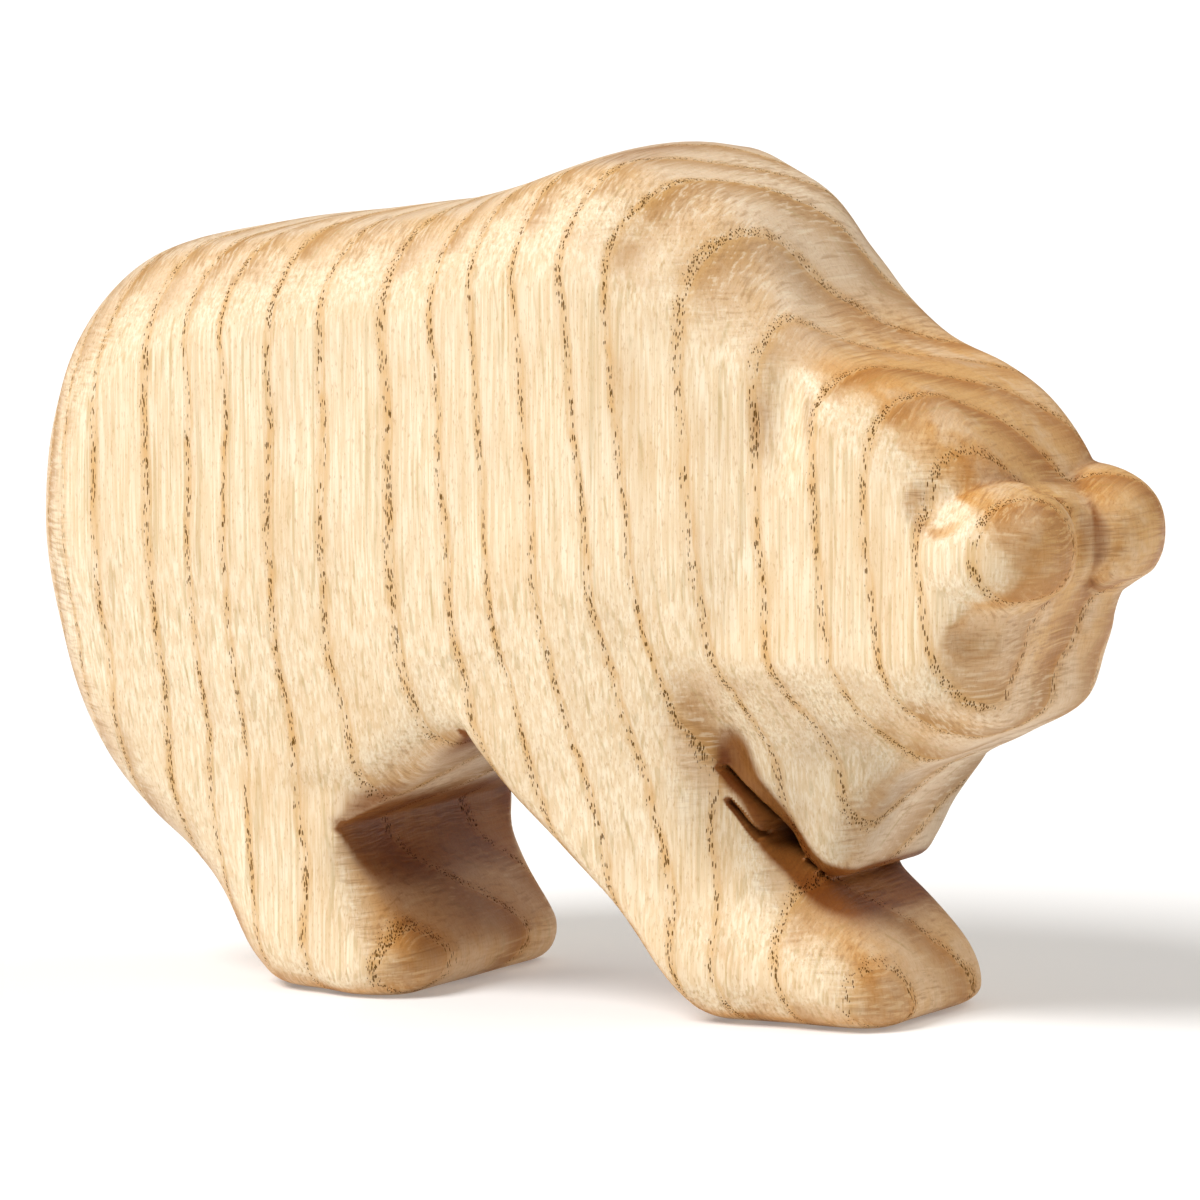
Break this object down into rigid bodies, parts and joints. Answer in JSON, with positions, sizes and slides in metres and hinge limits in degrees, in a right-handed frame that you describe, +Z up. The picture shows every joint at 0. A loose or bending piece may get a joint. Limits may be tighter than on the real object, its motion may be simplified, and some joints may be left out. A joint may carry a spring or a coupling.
{
  "type": "carved wooden bear figurine",
  "caption": "Palm-sized bear carved from a single block of ash, standing with its head lowered to its front foot; it rests on two flat soles with an open arch under the belly.",
  "frame": {"origin": "Centre of the bounding box in plan, on the flat plane of the soles.", "axes": "+X forward, from the rump to the nose and ears; +Z up from the soles; +Y to the bear's left. The carving is the same on both sides of the plane Y = 0."},
  "size_m": [0.121, 0.046, 0.0885],
  "materials": {
    "ash_wood": "bare ash sanded smooth with a light oil, satin, open pores, visible growth rings"
  },
  "bodies": {
    "root": {"bear": "ash_wood"}
  },
  "joints": []
}
